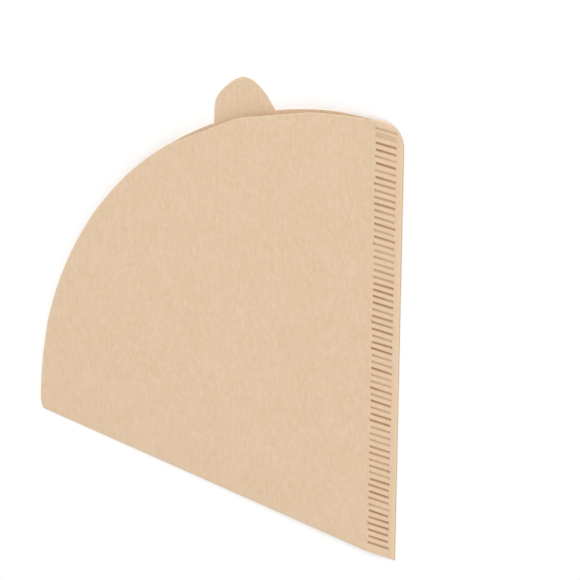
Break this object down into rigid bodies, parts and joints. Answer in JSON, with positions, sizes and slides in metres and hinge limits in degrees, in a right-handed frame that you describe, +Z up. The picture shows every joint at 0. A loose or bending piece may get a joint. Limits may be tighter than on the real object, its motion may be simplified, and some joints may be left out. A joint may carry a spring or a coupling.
{
  "type": "paper coffee filter",
  "caption": "Folded cone coffee filter of unbleached paper: a quarter disc of two plies with a straight fold, a crimped seam strip and a rounded pull tab.",
  "frame": {"origin": "under the middle of the folded filter's box, on the surface that it lies on", "axes": "+X along the fold towards the seam strip, +Y along the seam strip towards the mouth and its tab, +Z up out of the front ply"},
  "size_m": [0.1174, 0.1176, 0.0025],
  "materials": {
    "filter_paper": "unbleached creped filter paper, matte"
  },
  "bodies": {
    "root": {"folded_filter": "filter_paper"}
  },
  "joints": []
}
